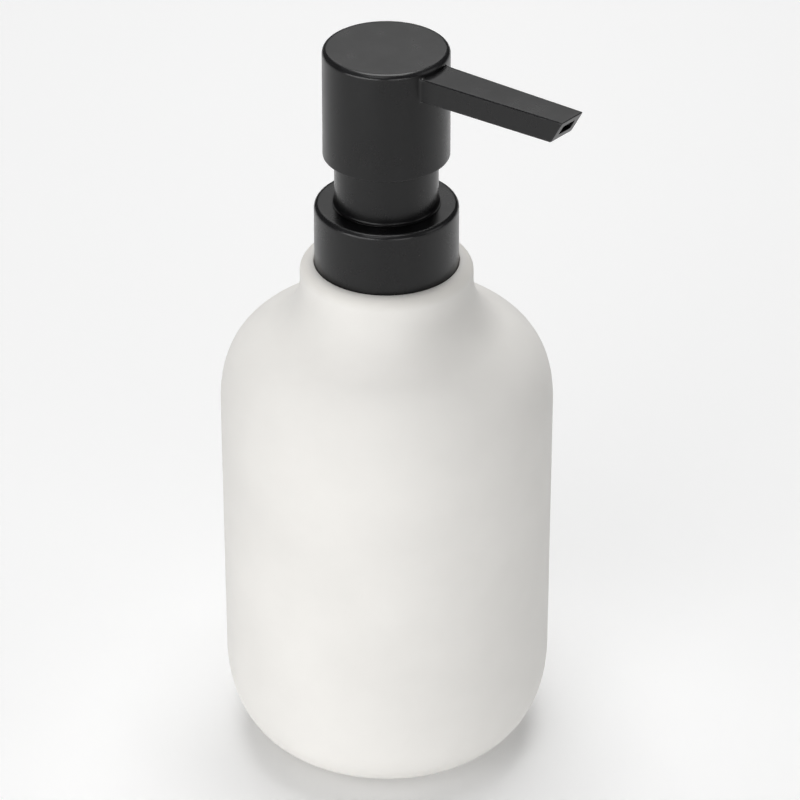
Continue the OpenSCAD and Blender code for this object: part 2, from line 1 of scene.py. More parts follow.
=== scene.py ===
import math
import bpy
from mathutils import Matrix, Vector


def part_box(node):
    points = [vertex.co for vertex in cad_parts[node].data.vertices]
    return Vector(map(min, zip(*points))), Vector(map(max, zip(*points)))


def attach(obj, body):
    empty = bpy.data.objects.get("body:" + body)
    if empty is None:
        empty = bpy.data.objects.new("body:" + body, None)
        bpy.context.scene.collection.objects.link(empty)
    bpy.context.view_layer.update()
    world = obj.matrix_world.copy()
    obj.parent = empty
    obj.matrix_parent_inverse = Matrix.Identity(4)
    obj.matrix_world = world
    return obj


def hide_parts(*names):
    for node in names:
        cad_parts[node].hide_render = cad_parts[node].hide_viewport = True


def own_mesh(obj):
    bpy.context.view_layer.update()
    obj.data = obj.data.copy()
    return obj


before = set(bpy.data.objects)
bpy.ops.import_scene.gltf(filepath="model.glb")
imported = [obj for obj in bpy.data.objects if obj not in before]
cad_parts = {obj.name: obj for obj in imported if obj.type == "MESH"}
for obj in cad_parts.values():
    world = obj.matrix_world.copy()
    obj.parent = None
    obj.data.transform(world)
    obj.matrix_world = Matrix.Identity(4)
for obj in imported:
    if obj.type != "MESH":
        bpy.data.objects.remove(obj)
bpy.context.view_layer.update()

MM = 0.001
ON_AXIS = 1e-6  # a radius smaller than this is a point on the axis
LEAST_FREE = 0.05  # a straight shorter than this gets no guard point


# ---------------------------------------------------------------- sizes from the frame

def low_mm(node_name):
    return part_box(node_name)[0] / MM


def high_mm(node_name):
    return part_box(node_name)[1] / MM


body_r = high_mm("bottle").x
foot_z = low_mm("bottle").z
lip_z = high_mm("bottle").z
pad_r = high_mm("foot_pad").x
pad_top = high_mm("foot_pad").z
seal_low = low_mm("insert_seal").z
collar_r = high_mm("collar_shell").x
collar_low = low_mm("collar_shell").z
collar_top = high_mm("collar_shell").z
nut_r = high_mm("closure_nut").x
nut_top = high_mm("closure_nut").z
sleeve_low = low_mm("sleeve").z
sleeve_top = high_mm("sleeve").z
bead_r = high_mm("sleeve").x
core_r = high_mm("actuator_core").y
core_top = high_mm("actuator_core").z
head_r = high_mm("head_shell").y
head_low = low_mm("head_shell").z
head_top = high_mm("head_shell").z
spout_reach = high_mm("head_shell").x
spring_low = low_mm("spring").z
spring_top = high_mm("spring").z
spring_outer_r = high_mm("spring").x

# Walls and gaps that the boxes don't give
cast_wall = 4.0
press_gap = 0.05
sleeve_wall = 1.1
sleeve_bead = 0.5
spring_wire = 0.9
spring_turns = 8


# ---------------------------------------------------------------- outlines and meshes

def bezier(p0, p1, p2, p3, steps):
    """Points of a cubic curve, as (radius, height, wear and painted highlight) with neither."""
    points = []
    for i in range(steps + 1):
        t = i / steps
        a, b, c, d = (1 - t) ** 3, 3 * t * (1 - t) ** 2, 3 * t * t * (1 - t), t ** 3
        points.append((a * p0[0] + b * p1[0] + c * p2[0] + d * p3[0],
                       a * p0[1] + b * p1[1] + c * p2[1] + d * p3[1], 0.0))
    return points


def offset_inwards(points, wall):
    """The same line moved to its left by a wall."""
    moved = []
    for i, (x, y, _) in enumerate(points):
        x0, y0, _ = points[max(i - 1, 0)]
        x1, y1, _ = points[min(i + 1, len(points) - 1)]
        length = math.hypot(x1 - x0, y1 - y0)
        moved.append((x - wall * (y1 - y0) / length, y + wall * (x1 - x0) / length, 0.0))
    return moved


def rounded(corners, steps=6, guard=0.5):
    """An outline through (radius, height, rounding) corners.
    A guard point stands off each end of a rounding, so that its wear, painted highlight and shading stay
    narrow."""
    places = [Vector(corner[:2]) for corner in corners]
    count = len(corners)
    halves, reaches = [], []
    for i, (_, _, r) in enumerate(corners):
        before, after = places[i - 1] - places[i], places[(i + 1) % count] - places[i]
        half = before.angle(after) / 2 if r else 0.0
        halves.append(half)
        reaches.append(r / math.tan(half) if r else 0.0)
    outline = []
    for i, (x, y, r) in enumerate(corners):
        if r == 0:
            outline.append((x, y, 0.0))
            continue
        here = places[i]
        before, after = places[i - 1] - here, places[(i + 1) % count] - here
        u, v = before.normalized(), after.normalized()
        centre = here + (u + v).normalized() * (r / math.sin(halves[i]))
        start, end = here + u * reaches[i] - centre, here + v * reaches[i] - centre
        convex = u.x * v.y - u.y * v.x < 0
        turn = start.angle_signed(end)
        a0 = math.atan2(start.y, start.x)
        free_before = before.length - reaches[i] - reaches[i - 1]
        free_after = after.length - reaches[i] - reaches[(i + 1) % count]
        if free_before > LEAST_FREE:
            p = here + u * (reaches[i] + min(guard, free_before / 3))
            outline.append((p.x, p.y, 0.0))
        for k in range(steps + 1):
            a = a0 - turn * k / steps
            # Convex roundings get the edge mask: wear, which the black plastic also shows as a painted
            # highlight
            wear_and_highlight = math.sin(math.pi * k / steps) if convex else 0.0
            outline.append((centre.x + r * math.cos(a), centre.y + r * math.sin(a), wear_and_highlight))
        if free_after > LEAST_FREE:
            p = here + v * (reaches[i] + min(guard, free_after / 3))
            outline.append((p.x, p.y, 0.0))
    return outline


def make_piece(name, verts, faces, wear_and_highlight=None, smooth_angle=35):
    """Writes a mesh in metres, smooth-shaded except across its sharp edges."""
    mesh = bpy.data.meshes.new(name)
    mesh.from_pydata([(x * MM, y * MM, z * MM) for x, y, z in verts], [], faces)
    mesh.validate()
    mesh.polygons.foreach_set("use_smooth", [True] * len(mesh.polygons))
    mesh.set_sharp_from_angle(angle=math.radians(smooth_angle))
    # The edge mask: wear, and on the black plastic a painted highlight
    layer = mesh.attributes.new("wear_and_highlight", "FLOAT", "POINT")
    layer.data.foreach_set("value", wear_and_highlight or [0.0] * len(verts))
    piece = bpy.data.objects.new(name, mesh)
    bpy.context.scene.collection.objects.link(piece)
    return piece


def lathe(name, outline, segments=160):
    """Revolves a closed outline of (radius, height, wear and painted highlight) points.
    The outline runs anticlockwise, with the axis on its left."""
    verts, wear_and_highlight, rings = [], [], []
    for r, z, w in outline:
        if abs(r) < ON_AXIS:
            rings.append([len(verts)] * segments)
            verts.append((0.0, 0.0, z))
            wear_and_highlight.append(w)
            continue
        rings.append(list(range(len(verts), len(verts) + segments)))
        for k in range(segments):
            a = 2 * math.pi * k / segments
            verts.append((r * math.cos(a), r * math.sin(a), z))
            wear_and_highlight.append(w)
    faces = []
    for i, ring in enumerate(rings):
        other = rings[(i + 1) % len(rings)]
        for k in range(segments):
            n = (k + 1) % segments
            face = []
            for v in (ring[k], ring[n], other[n], other[k]):
                if v not in face:
                    face.append(v)
            if len(face) > 2:
                faces.append(face)
    return make_piece(name, verts, faces, wear_and_highlight)


def loft(name, rings, wear_and_highlight, closed=True):
    """Joins rings of points into a skin. A closed loft joins its last ring to its first."""
    size = len(rings[0])
    verts = [p for ring in rings for p in ring]
    faces = []
    for i in range(len(rings) - (0 if closed else 1)):
        a, b = i * size, ((i + 1) % len(rings)) * size
        for k in range(size):
            n = (k + 1) % size
            faces.append([a + k, b + k, b + n, a + n])
    if not closed:
        faces.append(list(range(size)))
        faces.append([len(verts) - size + k for k in range(size - 1, -1, -1)])
    return make_piece(name, verts, faces, wear_and_highlight)


# ---------------------------------------------------------------- camera

VIEW_AZIMUTH = math.radians(40.2)
VIEW_ELEVATION = math.radians(31.2)
VIEW_DISTANCE = 0.9
AIM_HEIGHT = 0.0887
AIM_RIGHT = 0.0030
# Strengths of the floor's painted glow: near the bottle, and far behind it
FLOOR_GLOW = 0.1
SWEEP_GLOW = 0.1


def add_camera():
    a, e = VIEW_AZIMUTH, VIEW_ELEVATION
    back = Vector((math.sin(a) * math.cos(e), -math.cos(a) * math.cos(e), math.sin(e)))
    right = Vector((math.cos(a), math.sin(a), 0))
    data = bpy.data.cameras.new("camera")
    data.sensor_width = 36
    data.lens = 176.9
    data.clip_start, data.clip_end = 0.05, 20
    camera = bpy.data.objects.new("camera", data)
    camera.location = Vector((0, 0, AIM_HEIGHT)) + right * AIM_RIGHT + back * VIEW_DISTANCE
    camera.rotation_mode = "QUATERNION"
    camera.rotation_quaternion = (-back).to_track_quat("-Z", "Y")
    bpy.context.scene.collection.objects.link(camera)
    bpy.context.scene.camera = camera


add_camera()


# ---------------------------------------------------------------- materials

def hex_colour(code, alpha=1.0):
    """An sRGB hex colour as linear red, green, blue and alpha."""
    channels = [int(code[i:i + 2], 16) / 255 for i in (1, 3, 5)]
    linear = [c / 12.92 if c <= 0.04045 else ((c + 0.055) / 1.055) ** 2.4 for c in channels]
    return (*linear, alpha)


def add(tree, kind, links=None, **settings):
    """Adds a node, applies its settings, and sets or links its inputs."""
    made = tree.nodes.new(kind)
    for key, value in settings.items():
        setattr(made, key, value)
    for socket, value in (links or {}).items():
        if isinstance(value, bpy.types.NodeSocket):
            tree.links.new(value, made.inputs[socket])
        else:
            made.inputs[socket].default_value = value
    return made


def start_material(name):
    material = bpy.data.materials.new(name)
    material.use_nodes = True
    tree = material.node_tree
    tree.nodes.clear()
    place = add(tree, "ShaderNodeTexCoord").outputs["Object"]
    return material, tree, place


def per_metre(size_mm):
    """The texture scale whose features are about size_mm across."""
    return 1 / (size_mm * MM)


def finish_material(tree, shader_links):
    shader = add(tree, "ShaderNodeBsdfPrincipled", shader_links)
    add(tree, "ShaderNodeOutputMaterial", {"Surface": shader.outputs["BSDF"]})


def matt_stoneware():
    """Slip-cast stoneware under a matt glaze: chalky warm white, a broad soft sheen and no mirror.
    The glaze pools a little, so its tone and gloss drift over centimetres, and its skin has a fine grit."""
    material, tree, place = start_material("matt_stoneware")
    pool_size, wave_size, pit_spacing = 26, 9, 3.4
    bare_share, speck_share = 0.35, 0.05
    pooling = add(tree, "ShaderNodeTexNoise", {
        "Vector": place, "Scale": per_metre(pool_size), "Detail": 3.0, "Roughness": 0.5})
    # Real grit is about 0.1 mm; it is drawn at 0.35 mm, the finest that shows
    grit_size = 0.35
    grit = add(tree, "ShaderNodeTexNoise", {
        "Vector": place, "Scale": per_metre(grit_size), "Detail": 2.0, "Roughness": 0.6})
    waviness = add(tree, "ShaderNodeTexNoise", {
        "Vector": place, "Scale": per_metre(wave_size), "Detail": 1.0})
    pits = add(tree, "ShaderNodeTexVoronoi", {
        "Vector": place, "Scale": per_metre(pit_spacing), "Randomness": 1.0})
    pit = add(tree, "ShaderNodeMapRange", {
        "Value": pits.outputs["Distance"], "From Min": 0.03, "From Max": 0.08, "To Min": 1.0,
        "To Max": 0.0})
    tone = add(tree, "ShaderNodeMapRange", {
        "Value": pooling.outputs["Fac"], "From Min": 0.35, "From Max": 0.65})
    glaze = add(tree, "ShaderNodeMix", {
        "Factor": tone.outputs["Result"], "A": hex_colour("#EBE9E5"),
        "B": hex_colour("#F0EEEA")}, data_type="RGBA")
    edge_mask = add(tree, "ShaderNodeAttribute", attribute_name="wear_and_highlight")
    bare = add(tree, "ShaderNodeMath", {0: edge_mask.outputs["Fac"], 1: bare_share}, operation="MULTIPLY")
    colour = add(tree, "ShaderNodeMix", {
        "Factor": bare.outputs[0], "A": glaze.outputs["Result"],
        "B": hex_colour("#E4E0D8")}, data_type="RGBA")
    speck = add(tree, "ShaderNodeMath", {
        0: pit.outputs["Result"], 1: speck_share}, operation="MULTIPLY")
    speckled = add(tree, "ShaderNodeMix", {
        "Factor": speck.outputs[0], "A": colour.outputs["Result"],
        "B": hex_colour("#B9B2A6")}, data_type="RGBA")
    gloss = add(tree, "ShaderNodeMapRange", {
        "Value": pooling.outputs["Fac"], "From Min": 0.3, "From Max": 0.7, "To Min": 0.56,
        "To Max": 0.64})
    wavy = add(tree, "ShaderNodeBump", {
        "Height": waviness.outputs["Fac"], "Strength": 0.25, "Distance": 0.04 * MM})
    gritty = add(tree, "ShaderNodeBump", {
        "Height": grit.outputs["Fac"], "Normal": wavy.outputs["Normal"], "Strength": 0.5,
        "Distance": 0.012 * MM})
    finish_material(tree, {
        "Base Color": speckled.outputs["Result"], "Roughness": gloss.outputs["Result"],
        "Normal": gritty.outputs["Normal"], "IOR": 1.52, "Specular IOR Level": 0.4})
    return material


def satin_black_abs():
    """ABS moulded in a spark-eroded tool: black with a fine even grain that spreads every highlight.
    Handling polishes the grain off the edges, which show glossier; their colour is a shade lighter, partly
    from wear and partly a painted highlight."""
    material, tree, place = start_material("satin_black_abs")
    # A spark-eroded grain is about 0.05 mm; it is drawn at 0.18 mm, the finest that shows
    grain_size, handling_size = 0.18, 7
    polish_change = -0.04
    grain = add(tree, "ShaderNodeTexNoise", {
        "Vector": place, "Scale": per_metre(grain_size), "Detail": 2.0, "Roughness": 0.55})
    handling = add(tree, "ShaderNodeTexNoise", {
        "Vector": place, "Scale": per_metre(handling_size), "Detail": 3.0, "Roughness": 0.6})
    edge_mask = add(tree, "ShaderNodeAttribute", attribute_name="wear_and_highlight")
    patchy = add(tree, "ShaderNodeMapRange", {
        "Value": handling.outputs["Fac"], "From Min": 0.35, "From Max": 0.65, "To Min": 0.5,
        "To Max": 1.0})
    polish_and_highlight = add(tree, "ShaderNodeMath", {
        0: edge_mask.outputs["Fac"], 1: patchy.outputs["Result"]}, operation="MULTIPLY")
    # The edges are coloured lighter: partly wear, partly a painted highlight along the fillets
    colour = add(tree, "ShaderNodeMix", {
        "Factor": polish_and_highlight.outputs[0], "A": hex_colour("#0D0D0E"),
        "B": hex_colour("#262627")}, data_type="RGBA")
    matt = add(tree, "ShaderNodeMapRange", {
        "Value": handling.outputs["Fac"], "From Min": 0.3, "From Max": 0.7, "To Min": 0.26,
        "To Max": 0.32})
    gloss = add(tree, "ShaderNodeMath", {
        0: polish_and_highlight.outputs[0], 1: polish_change,
        2: matt.outputs["Result"]}, operation="MULTIPLY_ADD")
    grained = add(tree, "ShaderNodeBump", {
        "Height": grain.outputs["Fac"], "Strength": 0.2, "Distance": 0.006 * MM})
    finish_material(tree, {
        "Base Color": colour.outputs["Result"], "Roughness": gloss.outputs[0],
        "Normal": grained.outputs["Normal"], "IOR": 1.54, "Specular IOR Level": 0.35})
    return material


def moulded_plastic(name, base, shade, roughness, ior=1.49, subsurface=0.0):
    """Polypropylene or polyethylene straight from the tool: a soft waxy surface with faint flow lines
    along the axis, which the gate leaves as the plastic fills the mould."""
    material, tree, place = start_material(name)
    flow_size, skin_size, flow_stretch = 1.6, 0.25, 0.12
    drawn = add(tree, "ShaderNodeMapping", {"Vector": place, "Scale": (1.0, 1.0, flow_stretch)})
    flow = add(tree, "ShaderNodeTexNoise", {
        "Vector": drawn.outputs["Vector"], "Scale": per_metre(flow_size), "Detail": 3.0,
        "Roughness": 0.55})
    skin = add(tree, "ShaderNodeTexNoise", {
        "Vector": place, "Scale": per_metre(skin_size), "Detail": 1.0})
    colour = add(tree, "ShaderNodeMix", {
        "Factor": flow.outputs["Fac"], "A": hex_colour(base),
        "B": hex_colour(shade)}, data_type="RGBA")
    gloss = add(tree, "ShaderNodeMapRange", {
        "Value": flow.outputs["Fac"], "From Min": 0.3, "From Max": 0.7, "To Min": roughness - 0.04,
        "To Max": roughness + 0.05})
    bump = add(tree, "ShaderNodeBump", {
        "Height": skin.outputs["Fac"], "Strength": 0.3, "Distance": 0.01 * MM})
    finish_material(tree, {
        "Base Color": colour.outputs["Result"], "Roughness": gloss.outputs["Result"],
        "Normal": bump.outputs["Normal"], "IOR": ior, "Subsurface Weight": subsurface,
        "Subsurface Radius": (0.8, 0.8, 0.7), "Subsurface Scale": 1.2 * MM})
    return material


def closed_cell_foam(name, base, shade, cell_mm):
    """Die-cut foam sheet: a dull open skin of round cells that are cut through, so it never shines."""
    material, tree, place = start_material(name)
    cells = add(tree, "ShaderNodeTexVoronoi", {
        "Vector": place, "Scale": per_metre(cell_mm), "Randomness": 1.0})
    depth = add(tree, "ShaderNodeMapRange", {
        "Value": cells.outputs["Distance"], "From Min": 0.1, "From Max": 0.6})
    # The cells' hollows are coloured darker: a painted shade
    colour = add(tree, "ShaderNodeMix", {
        "Factor": depth.outputs["Result"], "A": hex_colour(shade),
        "B": hex_colour(base)}, data_type="RGBA")
    bump = add(tree, "ShaderNodeBump", {
        "Height": depth.outputs["Result"], "Strength": 0.6, "Distance": 0.1 * cell_mm * MM})
    finish_material(tree, {
        "Base Color": colour.outputs["Result"], "Roughness": 0.85, "Normal": bump.outputs["Normal"],
        "IOR": 1.45, "Specular IOR Level": 0.3})
    return material


def clear_material(name, tint, roughness, ior, transmission):
    """A clear or milky material: light goes in, and its faint ripple bends what lies behind."""
    material, tree, place = start_material(name)
    ripple_size = 3
    ripple = add(tree, "ShaderNodeTexNoise", {
        "Vector": place, "Scale": per_metre(ripple_size), "Detail": 1.0})
    gloss = add(tree, "ShaderNodeMapRange", {
        "Value": ripple.outputs["Fac"], "To Min": roughness * 0.8, "To Max": roughness * 1.2})
    bump = add(tree, "ShaderNodeBump", {
        "Height": ripple.outputs["Fac"], "Strength": 0.1, "Distance": 0.02 * MM})
    finish_material(tree, {
        "Base Color": hex_colour(tint), "Roughness": gloss.outputs["Result"],
        "Normal": bump.outputs["Normal"], "IOR": ior, "Transmission Weight": transmission})
    return material


def drawn_stainless_wire():
    """Hard-drawn stainless spring wire: bright grey metal with fine lines left by the die."""
    material, tree, place = start_material("drawn_stainless_wire")
    line_size = 0.3
    lines = add(tree, "ShaderNodeTexNoise", {
        "Vector": place, "Scale": per_metre(line_size), "Detail": 3.0, "Roughness": 0.7})
    colour = add(tree, "ShaderNodeMix", {
        "Factor": lines.outputs["Fac"], "A": hex_colour("#A9A8A6"),
        "B": hex_colour("#C4C3C0")}, data_type="RGBA")
    gloss = add(tree, "ShaderNodeMapRange", {
        "Value": lines.outputs["Fac"], "From Min": 0.3, "From Max": 0.7, "To Min": 0.22,
        "To Max": 0.36})
    bump = add(tree, "ShaderNodeBump", {
        "Height": lines.outputs["Fac"], "Strength": 0.25, "Distance": 0.01 * MM})
    finish_material(tree, {
        "Base Color": colour.outputs["Result"], "Metallic": 1.0, "Roughness": gloss.outputs["Result"],
        "Normal": bump.outputs["Normal"]})
    return material


stoneware = matt_stoneware()
black_abs = satin_black_abs()
black_pp = moulded_plastic("moulded_black_polypropylene", "#1B1B1C", "#232324", 0.42)
white_pp = moulded_plastic("moulded_white_polypropylene", "#E6E5E1", "#EEEDEA", 0.4, subsurface=0.1)
natural_pp = moulded_plastic("natural_polypropylene", "#D9DAD7", "#E6E7E4", 0.36, subsurface=0.3)
soft_pe = moulded_plastic("soft_polyethylene", "#E2DCCB", "#EAE5D6", 0.48, ior=1.51, subsurface=0.3)
seal_silicone = moulded_plastic("moulded_silicone", "#AEB2B3", "#B9BDBE", 0.5, ior=1.41, subsurface=0.3)
gasket_foam = closed_cell_foam("foamed_polyethylene_sheet", "#E3DECF", "#CFC9B8", 0.4)
pad_foam = closed_cell_foam("eva_foam_sheet", "#D6D5D2", "#BDBBB7", 0.6)
ball_glass = clear_material("polished_soda_glass", "#F4FAF8", 0.02, 1.52, 1.0)
tube_pe = clear_material("extruded_clear_polyethylene", "#EDF1F0", 0.3, 1.51, 0.7)
spring_steel = drawn_stainless_wire()


def dress(piece, material):
    piece.data.materials.clear()
    piece.data.materials.append(material)


# ---------------------------------------------------------------- bottle

def bottle_outline():
    """Foot, wall, shoulder, neck, lip and recess, then back down the inside of the cast wall."""
    foot_w, foot_h = 18.4, 23.2
    foot_pull, wall_pull = 0.667, 0.595
    shoulder_h, shoulder_pull = 36.2, 0.6
    neck_h, neck_round = 13.2, 8.6
    slope = math.radians(26.2)
    lip_gap, lip_wall = 0.35, 2.94
    lip_outer_round, lip_inner_round = 2.59, 0.25
    bore_r, bore_round = 13.9, 1.5
    foot_r = body_r - foot_w
    wall_low, wall_high = foot_z + foot_h, lip_z - shoulder_h
    neck_r = collar_r + lip_gap + lip_wall
    # The recess is drawn closer to the collar than its real gap, which keeps the dark line around it thin
    drawn_gap = 0.08
    recess_r = collar_r + drawn_gap
    neck_z = lip_z - neck_h
    pad_side_gap, pad_top_gap = 0.2, 0.02
    pad_pocket_r = pad_r + pad_side_gap
    pad_pocket_z = pad_top + pad_top_gap
    wall_steps = 12

    foot = bezier((foot_r, foot_z), (foot_r + foot_w * foot_pull, foot_z),
                  (body_r, wall_low - foot_h * wall_pull), (body_r, wall_low), 28)
    end_r, end_z = neck_r + neck_round * math.cos(slope), neck_z - neck_round * math.sin(slope)
    reach = (body_r - end_r) * shoulder_pull
    shoulder = bezier((body_r, wall_high), (body_r, wall_high + (end_z - wall_high) * shoulder_pull),
                      (end_r + reach, end_z - reach * math.tan(slope)), (end_r, end_z), 32)
    straight_z = neck_z + neck_round
    pull = 1 - shoulder_pull
    neck = bezier((end_r, end_z), (neck_r + (end_r - neck_r) * pull, neck_z + (end_z - neck_z) * pull),
                  (neck_r, neck_z + neck_round * pull), (neck_r, straight_z), 28)
    inside_shoulder = offset_inwards(shoulder, cast_wall)
    inside_foot = offset_inwards(foot, cast_wall)
    in_r, in_z, _ = inside_shoulder[-1]
    bore_low = in_z + (in_r - bore_r) * math.tan(slope)

    top = rounded([
        (neck_r, straight_z, 0), (neck_r, lip_z, lip_outer_round), (recess_r, lip_z, lip_inner_round),
        (recess_r, seal_low, 0.3), (bore_r, seal_low, 0.4), (bore_r, bore_low + bore_round, 0),
        (bore_r + bore_round, bore_low - bore_round * math.tan(slope), 0), (in_r, in_z, 0)], steps=12)
    pocket = rounded([
        (0, pad_pocket_z, 0), (pad_pocket_r, pad_pocket_z, 0.2), (pad_pocket_r, foot_z, 0.25),
        (foot_r, foot_z, 0)], steps=4, guard=0.15)
    wall = [(body_r, wall_low + (wall_high - wall_low) * k / wall_steps, 0.0) for k in range(1, wall_steps)]
    return (pocket[:-1] + foot + wall + shoulder + neck[1:] + top[1:-1] + inside_shoulder[::-1]
            + inside_foot[::-1] + [(0, foot_z + cast_wall, 0.0)])


bottle = lathe("bottle_body", bottle_outline(), segments=224)
dress(bottle, stoneware)
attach(bottle, "bottle")
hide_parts("bottle")

pad = lathe("foot_disc", rounded([
    (0, 0, 0), (pad_r, 0, 0.25), (pad_r, pad_top, 0.15), (0, pad_top, 0)], steps=4, guard=0.3), segments=128)
dress(pad, pad_foam)
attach(pad, "bottle")
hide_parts("foot_pad")


# ---------------------------------------------------------------- collar and sleeve

collar_draft = 0.9945
collar_top_r = collar_r * collar_draft
collar_inner_r = nut_r + press_gap
collar_roof_low = nut_top + press_gap
sleeve_r = bead_r - sleeve_bead
collar_hole_r = sleeve_r + 0.15
collar = lathe("collar_cover", rounded([
    (collar_inner_r, collar_low, 0.1), (collar_r, collar_low, 0.2), (collar_top_r, collar_top, 1.15),
    (collar_hole_r, collar_top, 0.1), (collar_hole_r, collar_roof_low, 0),
    (collar_inner_r, collar_roof_low, 0.2)], steps=8), segments=192)
dress(collar, black_abs)
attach(collar, "collar")
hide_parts("collar_shell")

sleeve_inner_r = sleeve_r - sleeve_wall
bead_rise = 0.12
bead_low = collar_top + bead_rise
bead_edge = 0.1
bead_hollow = sleeve_bead - 0.06
sleeve = lathe("stem_sleeve", rounded([
    (sleeve_inner_r, sleeve_low, 0), (sleeve_r, sleeve_low, 0), (sleeve_r, bead_low, 0),
    (bead_r, bead_low, 0.04), (bead_r, bead_low + bead_edge, 0.04),
    (sleeve_r, bead_low + bead_edge, bead_hollow),
    (sleeve_r, sleeve_top, 0.4), (sleeve_inner_r, sleeve_top, 0.2)], steps=6, guard=0.3), segments=192)
dress(sleeve, black_abs)
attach(sleeve, "pump")
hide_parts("sleeve")


# ---------------------------------------------------------------- head and spout

head_draft = 0.9938
head_top_r = head_r * head_draft
head_inner_r = core_r + press_gap
head_roof_low = core_top + press_gap
head = lathe("head_cover", rounded([
    (0, head_roof_low, 0), (head_inner_r, head_roof_low, 0.3), (head_inner_r, head_low, 0.25),
    (head_r, head_low, 0.35), (head_top_r, head_top, 1.25), (0, head_top, 0)], steps=10), segments=224)

spout_rise = math.radians(2.4)
spout_cut = math.radians(31.5)
spout_root_w = 8.94
spout_tip_w = 7.2
spout_tall = 5.46
spout_wall = 0.9
nozzle_lip = 1.2
nozzle_wall = 0.7
channel_inset = spout_wall + press_gap + nozzle_wall
spout_drop = 1.74
spout_top = head_top - spout_drop
spout_root_x = math.sqrt(head_top_r ** 2 - (spout_root_w / 2) ** 2)
spout_length = (spout_reach - spout_root_x) / math.cos(spout_rise)
ROOT_DEPTH = 0.5  # how far the spout runs into the head's wall
CORNER_STEPS = 5
CORNER_GUARD = 0.3
SETTLE_ROUNDS = 3


def corner_arc(corner, a0):
    """A quarter turn about a corner's centre, with a guard point before and after it."""
    first, last = math.radians(a0), math.radians(a0 + 90)
    angles = [first + (last - first) * k / CORNER_STEPS for k in range(CORNER_STEPS + 1)]
    arc = [(corner * math.cos(a), corner * math.sin(a)) for a in angles]
    before = (arc[0][0] + CORNER_GUARD * math.sin(first), arc[0][1] - CORNER_GUARD * math.cos(first))
    after = (arc[-1][0] - CORNER_GUARD * math.sin(last), arc[-1][1] + CORNER_GUARD * math.cos(last))
    return [before] + arc + [after]


def spout_ring(inset, corner, place_x):
    """One ring round the spout, set in from its outside, with rounded corners.
    place_x(y, z) gives each point's place along the spout."""
    points = []
    for side, level, a0 in ((1, 1, 0), (-1, 1, 90), (-1, -1, 180), (1, -1, 270)):
        for dy, dz in corner_arc(corner, a0):
            z = level * (spout_tall / 2 - inset - corner) + dz - spout_tall / 2
            x = 0.0
            # The spout tapers, so a point's width and its place are found together
            for _ in range(SETTLE_ROUNDS):
                half = (spout_root_w + (spout_tip_w - spout_root_w) * x / spout_length) / 2 - inset
                y = side * (half - corner) + dy
                x = place_x(y, z)
            points.append((spout_root_x + x * math.cos(spout_rise) - z * math.sin(spout_rise), y,
                           spout_top + x * math.sin(spout_rise) + z * math.cos(spout_rise)))
    return points


def tip_at(back):
    """Places a ring on the slanted end face, or a way back from it."""
    return lambda y, z: spout_length + z * math.tan(spout_cut) - back


def head_at(out):
    """Places a ring on the round side of the head, or a way out from it."""
    def place(y, z):
        surface = math.sqrt(head_top_r ** 2 - y * y) + out - spout_root_x
        return (surface + z * math.sin(spout_rise)) / math.cos(spout_rise)
    return place


def along(share, first, last):
    """Places a ring a share of the way from one place to another."""
    return lambda y, z: first(y, z) * (1 - share) + last(y, z) * share


def spout_shell():
    """The hollow spout: it flares into the head at its root.
    A lip round its mouth hides the tube's end."""
    flare, rim, mouth = 0.45, 0.3, 0.15
    edge, inner_edge, face_margin = 0.38, 0.3, 0.1
    rim_steps, mouth_steps = 6, 4
    rings, wear_and_highlight = [], []

    def put(inset, corner, place, least_wear_and_highlight=0.0):
        rings.append(spout_ring(inset, corner, place))
        # The long outer edges wear too, and take the same painted highlight: the points of each corner's arc
        for k in range(4 * (CORNER_STEPS + 3)):
            step = k % (CORNER_STEPS + 3) - 1
            arc = math.sin(math.pi * step / CORNER_STEPS) if 0 < step < CORNER_STEPS else 0.0
            wear_and_highlight.append(max(least_wear_and_highlight, arc if inset < rim else 0.0))

    put(-flare, edge + flare, head_at(-ROOT_DEPTH))
    for k in range(rim_steps + 1):
        a = math.radians(90 * k / rim_steps)
        spread = flare * (1 - math.sin(a))
        put(-spread, edge + spread, head_at(flare * (1 - math.cos(a))))
    for share in (0.03, 0.2, 0.4, 0.6, 0.8, 0.97):
        put(0, edge, along(share, head_at(flare), tip_at(rim)))
    # The mouth's rim gets the edge mask too: wear and a painted highlight
    for k in range(rim_steps + 1):
        a = math.radians(90 * k / rim_steps)
        sunk = rim * (1 - math.cos(a))
        put(sunk, edge - sunk / 2, tip_at(rim * (1 - math.sin(a))), math.sin(math.pi * k / rim_steps))
    put(rim + face_margin, inner_edge, tip_at(0))
    put(channel_inset - mouth - face_margin, inner_edge, tip_at(0))
    for k in range(mouth_steps + 1):
        a = math.radians(90 * k / mouth_steps)
        put(channel_inset - mouth * (1 - math.sin(a)), inner_edge, tip_at(mouth * (1 - math.cos(a))))
    put(channel_inset, inner_edge, tip_at(mouth + face_margin))
    put(channel_inset, inner_edge, tip_at(nozzle_lip))
    put(spout_wall, inner_edge, tip_at(nozzle_lip))
    put(spout_wall, inner_edge, along(0.5, tip_at(nozzle_lip), head_at(-ROOT_DEPTH)))
    put(spout_wall, inner_edge, head_at(-ROOT_DEPTH))
    return loft("head_spout", rings, wear_and_highlight)


def nozzle_liner():
    """The tube inside the spout, which stops behind the mouth's lip."""
    outer, corner = spout_wall + press_gap, 0.2
    root_place = -4.4
    tip = tip_at(nozzle_lip + press_gap)

    def root(y, z):
        return root_place

    outside = [(outer, 0), (outer, 0.5), (outer, 1)]
    inside = [(channel_inset, 1), (channel_inset, 0.5), (channel_inset, 0)]
    rings = [spout_ring(inset, corner, along(share, root, tip)) for inset, share in outside + inside]
    return loft("nozzle_liner", rings, None)


spout = spout_shell()
for piece in (head, spout):
    dress(piece, black_abs)
    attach(piece, "head")
    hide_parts("head_shell")

liner = nozzle_liner()
dress(liner, black_pp)
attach(liner, "head")
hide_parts("nozzle_tube")


# ---------------------------------------------------------------- spring

